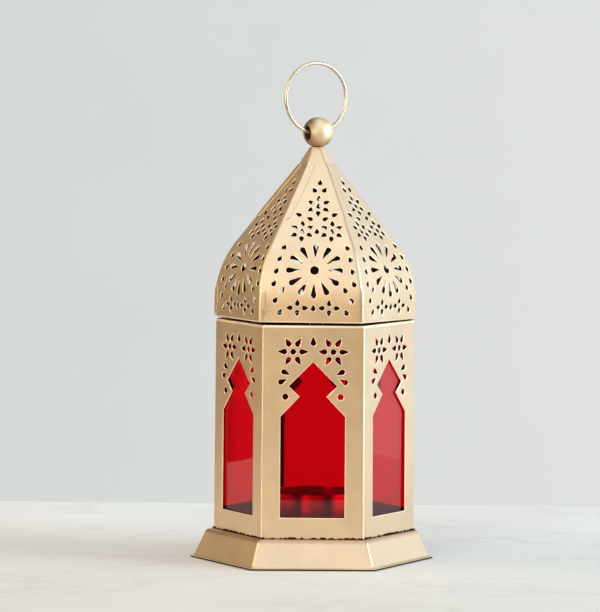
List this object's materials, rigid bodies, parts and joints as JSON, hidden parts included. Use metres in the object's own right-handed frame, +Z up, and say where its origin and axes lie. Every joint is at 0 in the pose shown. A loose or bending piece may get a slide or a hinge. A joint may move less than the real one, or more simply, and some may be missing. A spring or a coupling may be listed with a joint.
{
  "type": "moroccan candle lantern",
  "caption": "Hexagonal pierced-metal candle lantern with arched red glass windows, a hinged pierced dome lid, a ball finial and a ring handle.",
  "frame": {"origin": "middle of the foot, on the surface the lantern stands on", "axes": "+Z up along the lantern's axis, -Y towards the front panel, X through two corners of the hexagon"},
  "size_m": [0.1098, 0.0952, 0.2254],
  "materials": {
    "gold_body_sheet": "satin champagne gold paint",
    "gold_dome_sheet": "satin champagne gold paint",
    "gold_base_sheet": "satin champagne gold paint",
    "gold_ball": "satin gold",
    "gold_wire": "satin champagne gold",
    "red_glass": "clear deep red, polished",
    "cup_metal": "bright pressed metal",
    "hinge_metal": "satin"
  },
  "bodies": {
    "lantern_body": {"base_skirt": "gold_base_sheet", "floor_plate": "gold_base_sheet", "candle_cup": "cup_metal", "side_panel_front": "gold_body_sheet", "side_panel_front_right": "gold_body_sheet", "side_panel_back_right": "gold_body_sheet", "side_panel_back": "gold_body_sheet", "side_panel_back_left": "gold_body_sheet", "side_panel_front_left": "gold_body_sheet", "red_pane_front": "red_glass", "red_pane_front_right": "red_glass", "red_pane_back_right": "red_glass", "red_pane_back": "red_glass", "red_pane_back_left": "red_glass", "red_pane_front_left": "red_glass", "hinge_leaf_lower": "hinge_metal", "hinge_pin": "hinge_metal"},
    "dome_lid": {"dome_gore_front": "gold_dome_sheet", "dome_gore_front_right": "gold_dome_sheet", "dome_gore_back_right": "gold_dome_sheet", "dome_gore_back": "gold_dome_sheet", "dome_gore_back_left": "gold_dome_sheet", "dome_gore_front_left": "gold_dome_sheet", "finial_cap": "gold_dome_sheet", "finial_stud": "hinge_metal", "finial_ball": "gold_ball", "hinge_leaf_upper": "hinge_metal"},
    "ring": {"ring_handle": "gold_wire"}
  },
  "joints": [
    {"name": "dome_hinge", "type": "hinge", "parent": "lantern_body", "child": "dome_lid", "pos_m": [0, 0.04165, 0.10895], "axis": [-1, 0, 0], "range_deg": [0, 110]},
    {"name": "ring_swing", "type": "hinge", "parent": "dome_lid", "child": "ring", "pos_m": [0, 0, 0.1931], "axis": [0.8572, 0.515, 0], "range_deg": [-138, 138]}
  ]
}
